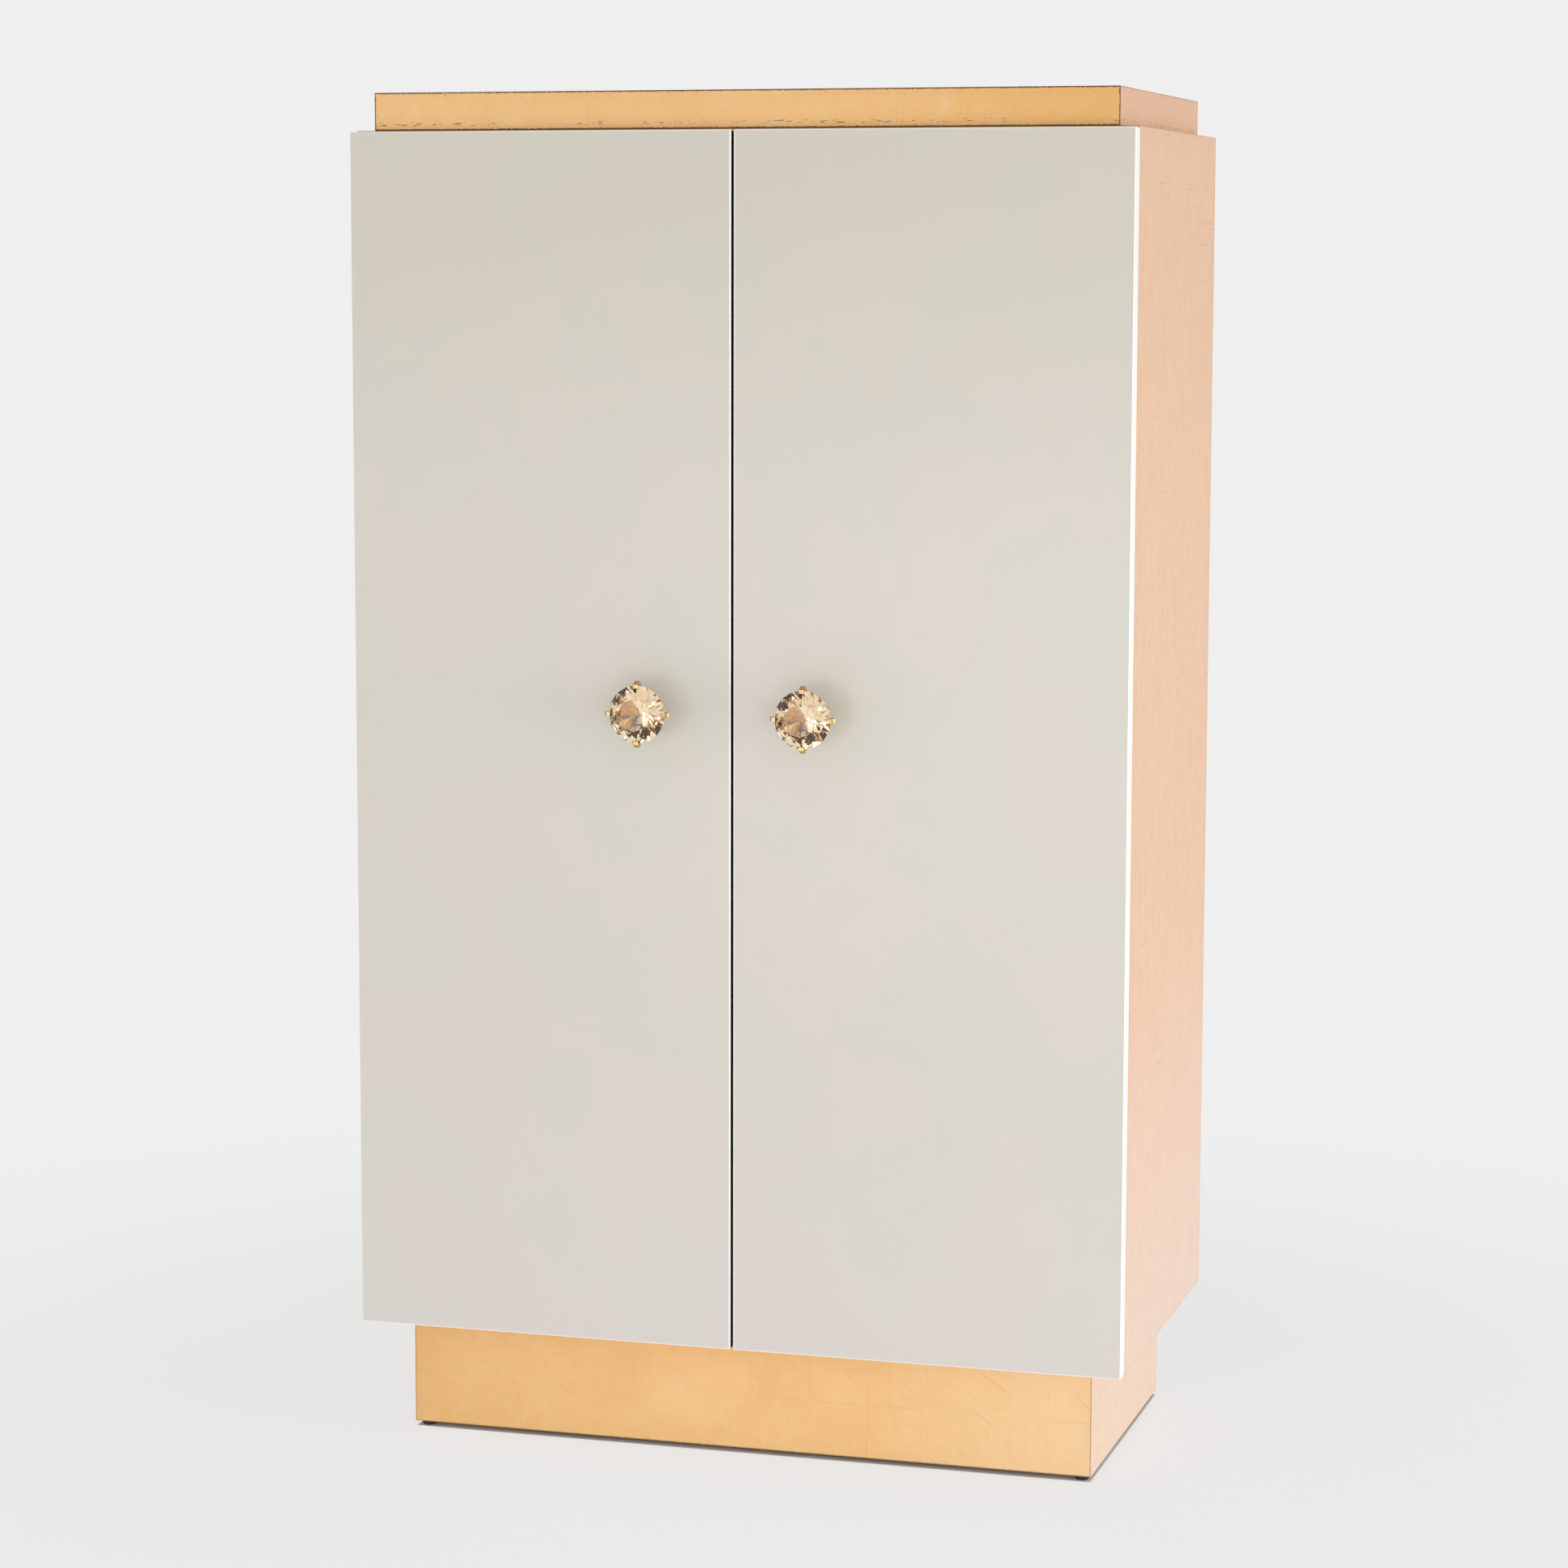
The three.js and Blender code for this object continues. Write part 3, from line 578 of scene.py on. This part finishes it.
# ------------------------------------------------------------------ case, cap and plinth
def build_case():
    board("case_side_left", "case", case_gilt, dark_wood, case_box, ((1, 0, 0),))
    board("case_side_right", "case", case_gilt, dark_wood, case_box, ((-1, 0, 0),))
    board("case_top_panel", "case", case_gilt, shelf_wood, case_box, ((0, 0, -1),))
    board("case_bottom_panel", "case", case_gilt, shelf_wood, case_box, ((0, 0, 1),))
    board("case_back_panel", "case", dark_wood, None, case_box)
    for node in ("hat_shelf", "lower_shelf"):
        board(node, "case", shelf_wood, radius=SHELF_RADIUS)
    for node in CAP_NODES:
        board(node, "case", cap_gilt, None, cap_box)
    inward = {
        "plinth_front": (0, 1, 0),
        "plinth_back": (0, -1, 0),
        "plinth_left": (1, 0, 0),
        "plinth_right": (-1, 0, 0),
    }
    for node in PLINTH_NODES:
        board(node, "case", plinth_gilt, raw_wood, plinth_box, (inward[node], (0, 0, -1)))
    for side, _ in SIDES:
        for end in ("front", "back"):
            corner = "%s_%s" % (end, side)
            board("plinth_block_" + corner, "case", raw_wood, radius=BLOCK_RADIUS)
            rounded("glide_" + corner, "case", black_nylon, GLIDE_ROUNDING)
        rounded("rod_socket_" + side, "case", brass, FITTING_ROUNDING)
    dress("hanging_rod", brass)


# ------------------------------------------------------------------ small hardware
ON_AXIS = 1e-7                        # a smaller radius is a point on the lathe's axis
SCREW_STEPS = 28
SCREW_SEAT = 0.0002                   # how far a head's edge goes below the surface
CUP_SCREW = (0.0033, 0.00015)         # head radius and rise
ARM_SCREW = (0.0036, 0.0021)
ROD_SCREW = (0.0022, 0.0009)
ARM_PLATE = 0.003
SOCKET_FLANGE = 0.003
ARM_SCREW_BACK = 0.016                # from the arm's back end
CUP_SCREW_SPREAD = 0.0241             # from the middle of the fitting, up and down
ARM_SCREW_SPREAD = 0.0175
ROD_SCREW_SPREAD = 0.0212
BUFFER_OUT = 0.03                     # from the armoire's middle
BUFFER_SUNK = 0.0001
PIN_INSET = 0.05
PIN_DROP = 0.0027
BUFFER_DOME = ((0, 0), (0.004, 0), (0.004, 0.0006), (0.0034, 0.0011), (0.0022, 0.0013), (0, 0.0014))
PIN_PROFILE = (
    (0, 0), (0.0055, 0), (0.0055, 0.0012), (0.0026, 0.0016), (0.0026, 0.0085), (0.0020, 0.0095), (0, 0.0095),
)


def on_axis(bm, at, axis):
    """Turns a mesh made along +Z to stand on `at` and point along `axis`."""
    turn = Vector((0, 0, 1)).rotation_difference(Vector(axis)).to_matrix().to_4x4()
    bm.transform(Matrix.Translation(Vector(at)) @ turn)


def ring(bm, radius, height, steps):
    """A circle of points about the Z axis."""
    around = [2 * math.pi * i / steps for i in range(steps)]
    return [bm.verts.new((radius * math.cos(a), radius * math.sin(a), height)) for a in around]


def turned(name, profile, at, axis, material, body, steps=32):
    """A lathe piece from [radius, height] pairs that start and end on its axis."""
    bm = bmesh.new()
    rings = []
    for r, h in profile:
        if r < ON_AXIS:
            rings.append([bm.verts.new((0, 0, h))])
        else:
            rings.append(ring(bm, r, h, steps))
    for one, two in zip(rings, rings[1:]):
        for i in range(steps):
            j = (i + 1) % steps
            loop = [one[i % len(one)], one[j % len(one)], two[j % len(two)], two[i % len(two)]]
            bm.faces.new(list(dict.fromkeys(loop)))
    bmesh.ops.recalc_face_normals(bm, faces=bm.faces[:])
    mark_sharp(bm)
    on_axis(bm, at, axis)
    piece = weighted(link_mesh(name, bm, [material]))
    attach(piece, body)


def screw_head(name, at, axis, radius, rise, body):
    """A cross-recessed screw head that stands `rise` above the surface at `at`."""
    bm = bmesh.new()
    arm, reach, sunk = radius * 0.15, radius * 0.58, radius * 0.35
    outline = (
        (radius, -SCREW_SEAT),
        (radius, rise * 0.45),
        (radius * 0.86, rise * 0.86),
        (radius * 0.70, rise),
    )
    rings = [ring(bm, r, h, SCREW_STEPS) for r, h in outline]
    for one, two in zip(rings, rings[1:]):
        for i in range(SCREW_STEPS):
            j = (i + 1) % SCREW_STEPS
            bm.faces.new((one[i], one[j], two[j], two[i]))
    bm.faces.new(list(reversed(rings[0])))
    quarter = ((reach, -arm), (reach, arm), (arm, arm))
    turns = ((1, 0), (0, 1), (-1, 0), (0, -1))
    cross = [(x * c - y * t, x * t + y * c) for c, t in turns for x, y in quarter]
    lip = [bm.verts.new((x, y, rise)) for x, y in cross]
    deep = [bm.verts.new((x * 0.72, y * 0.72, rise - sunk)) for x, y in cross]
    count = len(cross)
    for i in range(count):
        j = (i + 1) % count
        bm.faces.new((lip[j], lip[i], deep[i], deep[j]))
    bm.faces.new(deep)
    top = []
    for rim in (rings[-1], lip):
        for one, two in zip(rim, rim[1:] + rim[:1]):
            top.append(bm.edges.get((one, two)))
    bmesh.ops.triangle_fill(bm, use_beauty=True, use_dissolve=False, edges=top)
    bmesh.ops.recalc_face_normals(bm, faces=bm.faces[:])
    mark_sharp(bm)
    on_axis(bm, at, axis)
    piece = weighted(link_mesh(name, bm, [steel]))
    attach(piece, body)


def hinge_screws(side, s, i):
    """Two flush screws through the cup's flange, and two through the arm's plate."""
    tag = "%s_%d" % (side, i)
    cup_low, cup_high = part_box("hinge_cup_" + tag)
    arm_low, arm_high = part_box("hinge_arm_" + tag)
    cup_x = (cup_low[0] + cup_high[0]) / 2
    middle = (cup_low[2] + cup_high[2]) / 2
    plate_face = (arm_low[0] + ARM_PLATE) if s < 0 else (arm_high[0] - ARM_PLATE)
    plate_y = arm_high[1] - ARM_SCREW_BACK
    for end, up in (("low", -1), ("high", 1)):
        at = (cup_x, cup_high[1], middle + up * CUP_SCREW_SPREAD)
        screw_head("cup_screw_%s_%s" % (tag, end), at, (0, 1, 0), *CUP_SCREW, side + "_door")
        at = (plate_face, plate_y, middle + up * ARM_SCREW_SPREAD)
        screw_head("arm_screw_%s_%s" % (tag, end), at, (-s, 0, 0), *ARM_SCREW, "case")


def door_buffers(side, s):
    """Soft domes on the door's back, where it meets the case's top and bottom."""
    _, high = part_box("door_" + side)
    for end, panel in (("low", "case_bottom_panel"), ("high", "case_top_panel")):
        panel_low, panel_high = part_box(panel)
        at = (s * BUFFER_OUT, high[1] - BUFFER_SUNK, (panel_low[2] + panel_high[2]) / 2)
        name = "buffer_%s_%s" % (side, end)
        turned(name, BUFFER_DOME, at, (0, 1, 0), clear_rubber, side + "_door")


def shelf_pins(shelf):
    """Four turned pins in the case sides, under the shelf's ends."""
    low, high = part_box(shelf)
    for side, s in SIDES:
        for end, y in (("front", low[1] + PIN_INSET), ("back", high[1] - PIN_INSET)):
            wall = low[0] if s < 0 else high[0]
            at = (wall, y, low[2] - PIN_DROP)
            name = "%s_pin_%s_%s" % (shelf, side, end)
            turned(name, PIN_PROFILE, at, (-s, 0, 0), brass, "case")


def rod_screws(side, s):
    """Two screws through the rod socket's flange, above and below the rod."""
    low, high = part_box("rod_socket_" + side)
    face = (low[0] + SOCKET_FLANGE) if s < 0 else (high[0] - SOCKET_FLANGE)
    y, z = (low[1] + high[1]) / 2, (low[2] + high[2]) / 2
    for end, up in (("low", -1), ("high", 1)):
        at = (face, y, z + up * ROD_SCREW_SPREAD)
        screw_head("rod_screw_%s_%s" % (side, end), at, (-s, 0, 0), *ROD_SCREW, "case")


PAVILION_SLOPE = 29 / 38.5      # how the crystal's back rises from its point
SEAT_GAP = 0.0008
RING_PITCH = 0.0017
RING_RISE = 0.0004
RING_COUNT = 12
RING_START = 0.0014
RING_FORM = ((0.0, 0.15), (0.25, 1.0), (0.6, 1.0), (0.85, 0.15))      # part of the pitch, part of the rise
RING_STEPS = 72


def cup_rings(side):
    """The turned rings on the inside of the knob's cup, under the crystal."""
    low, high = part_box("knob_crystal_" + side)
    at = ((low[0] + high[0]) / 2, high[1] + SEAT_GAP, (low[2] + high[2]) / 2)
    profile = [(0, 0.0002)]
    for i in range(RING_COUNT):
        start = RING_START + i * RING_PITCH
        for part, rise in RING_FORM:
            r = start + part * RING_PITCH
            profile.append((r, PAVILION_SLOPE * r + rise * RING_RISE))
    lip = profile[-1][0] + 0.0004
    profile += [(lip, PAVILION_SLOPE * lip - 0.0003), (0, -0.0003)]
    name = "knob_cup_rings_" + side
    turned(name, profile, at, (0, -1, 0), cup_brass, side + "_door", RING_STEPS)


build_case()
for side_name, sign in SIDES:
    door_body = side_name + "_door"
    rounded("door_" + side_name, door_body, lacquer, DOOR_ROUNDING)
    dress("knob_crystal_" + side_name, crystal)
    rounded("knob_setting_" + side_name, door_body, brass, FITTING_ROUNDING)
    rounded("knob_screw_" + side_name, door_body, steel, FITTING_ROUNDING)
    cup_rings(side_name)
    door_buffers(side_name, sign)
    rod_screws(side_name, sign)
    for number in HINGES:
        hinge = "%s_%d" % (side_name, number)
        rounded("hinge_arm_" + hinge, "case", steel, HINGE_ROUNDING)
        rounded("hinge_cup_" + hinge, door_body, steel, HINGE_ROUNDING)
        dress("hinge_outer_link_" + hinge, steel)
        dress("hinge_inner_link_" + hinge, steel)
        hinge_screws(side_name, sign, number)
for shelf_name in ("hat_shelf", "lower_shelf"):
    shelf_pins(shelf_name)


# ------------------------------------------------------------------ stage and light
BACKGROUND = 0.863
GLASS_ROOM_OFFSET = (3.7, 1.9, 0.4)
FLOOR_RADIUS = 60.0
FLOOR_STEPS = 96
UNDER_MARGIN = 0.001


def build_stage():
    bm = bmesh.new()
    bmesh.ops.create_circle(bm, cap_ends=True, segments=FLOOR_STEPS, radius=FLOOR_RADIUS)
    floor = link_mesh("floor", bm, [])
    material = bpy.data.materials.new("floor")
    material.use_nodes = True
    g = Graph(material.node_tree)
    out = g.node("ShaderNodeOutputMaterial")
    near = g.node("ShaderNodeBsdfDiffuse")
    near.inputs["Color"].default_value = rgb(0.90, 0.90, 0.895)
    far = g.node("ShaderNodeEmission")
    far.inputs["Color"].default_value = rgb(1, 1, 1)
    far.inputs["Strength"].default_value = BACKGROUND
    coords = g.node("ShaderNodeTexCoord")
    flat = g.vector("MULTIPLY", coords.outputs["Object"], (1, 1, 0))
    away = g.range(g.vector("LENGTH", flat), 0.75, 2.3, 0.80, 1.0)
    # the fill stops under the plinth, which leaves the gap above the floor dark
    under = None
    for i, v in enumerate(g.split(coords.outputs["Object"])[:2]):
        middle = (plinth_box[0][i] + plinth_box[1][i]) / 2
        half = (plinth_box[1][i] - plinth_box[0][i]) / 2
        inside = g.math("LESS_THAN", g.math("ABSOLUTE", g.math("SUBTRACT", v, middle)), half - UNDER_MARGIN)
        under = inside if under is None else g.math("MULTIPLY", under, inside)
    blend = g.node("ShaderNodeMixShader")
    g.feed(blend.inputs[0], g.math("MULTIPLY", away, g.math("SUBTRACT", 1.0, under)))
    g.feed(blend.inputs[1], near.outputs[0])
    g.feed(blend.inputs[2], far.outputs[0])
    g.feed(out.inputs["Surface"], blend.outputs[0])
    floor.data.materials.append(material)


def build_world():
    """Plain background to the eye, a soft studio dome to the object, and a patchy room to cut glass."""
    world = bpy.data.worlds.new("studio")
    bpy.context.scene.world = world
    world.use_nodes = True
    g = Graph(world.node_tree)
    out = g.node("ShaderNodeOutputWorld")
    direction = g.node("ShaderNodeTexCoord").outputs["Generated"]
    x, y, z = g.split(direction)
    path = g.node("ShaderNodeLightPath")

    right = g.range(x, -0.2, 0.9, 0.0, 0.22)
    behind = g.range(y, 0.0, 0.9, 0.0, -0.24)
    high = g.range(z, 0.0, 0.8, 0.0, -0.22)
    level = g.math("ADD", g.math("ADD", 0.80, right), g.math("ADD", behind, high))
    dome = g.node("ShaderNodeBackground")
    g.feed(dome.inputs["Color"], rgb(1, 1, 1))
    g.feed(dome.inputs["Strength"], level)

    patch = g.noise(g.vector("ADD", direction, GLASS_ROOM_OFFSET), 1.9, 1.0, 0.5)
    shade = g.mix(g.range(patch, 0.43, 0.44), rgb(0.035, 0.016, 0.008), rgb(0.42, 0.27, 0.13))
    lit_wall = g.mix(g.range(patch, 0.485, 0.495), shade, rgb(1.0, 0.99, 0.97))
    window = g.range(patch, 0.555, 0.575)
    room = g.node("ShaderNodeBackground")
    g.feed(room.inputs["Color"], g.mix(window, lit_wall, rgb(0.80, 0.92, 1.0)))
    g.feed(room.inputs["Strength"], g.range(window, 0.0, 1.0, 1.0, 2.3))
    inside_glass = g.math("GREATER_THAN", path.outputs["Transmission Depth"], 0.5)
    through_glass = g.math("MULTIPLY", inside_glass, g.math("LESS_THAN", path.outputs["Diffuse Depth"], 0.5))

    plain = g.node("ShaderNodeBackground")
    g.feed(plain.inputs["Color"], rgb(1, 1, 1))
    g.feed(plain.inputs["Strength"], BACKGROUND)

    lit = g.node("ShaderNodeMixShader")
    g.feed(lit.inputs[0], through_glass)
    g.feed(lit.inputs[1], dome.outputs[0])
    g.feed(lit.inputs[2], room.outputs[0])
    pick = g.node("ShaderNodeMixShader")
    g.feed(pick.inputs[0], path.outputs["Is Camera Ray"])
    g.feed(pick.inputs[1], lit.outputs[0])
    g.feed(pick.inputs[2], plain.outputs[0])
    g.feed(out.inputs["Surface"], pick.outputs[0])


def area_light(name, at, target, width, height, watts):
    data = bpy.data.lights.new(name, "AREA")
    data.shape = "RECTANGLE"
    data.size, data.size_y = width, height
    data.energy = watts
    light = bpy.data.objects.new(name, data)
    bpy.context.scene.collection.objects.link(light)
    light.location = at
    light.rotation_mode = "QUATERNION"
    light.rotation_quaternion = (Vector(target) - Vector(at)).to_track_quat("-Z", "Y")
    light.visible_transmission = False


build_stage()
build_world()
area_light("key", (4.4, -1.4, 0.75), (0.4, 0, 0.5), width=2.6, height=1.5, watts=42)
area_light("low_front", (0.7, -3.9, 0.55), (0, -0.2, 0.5), width=4.4, height=1.1, watts=23)
bpy.context.scene.view_settings.view_transform = "Standard"
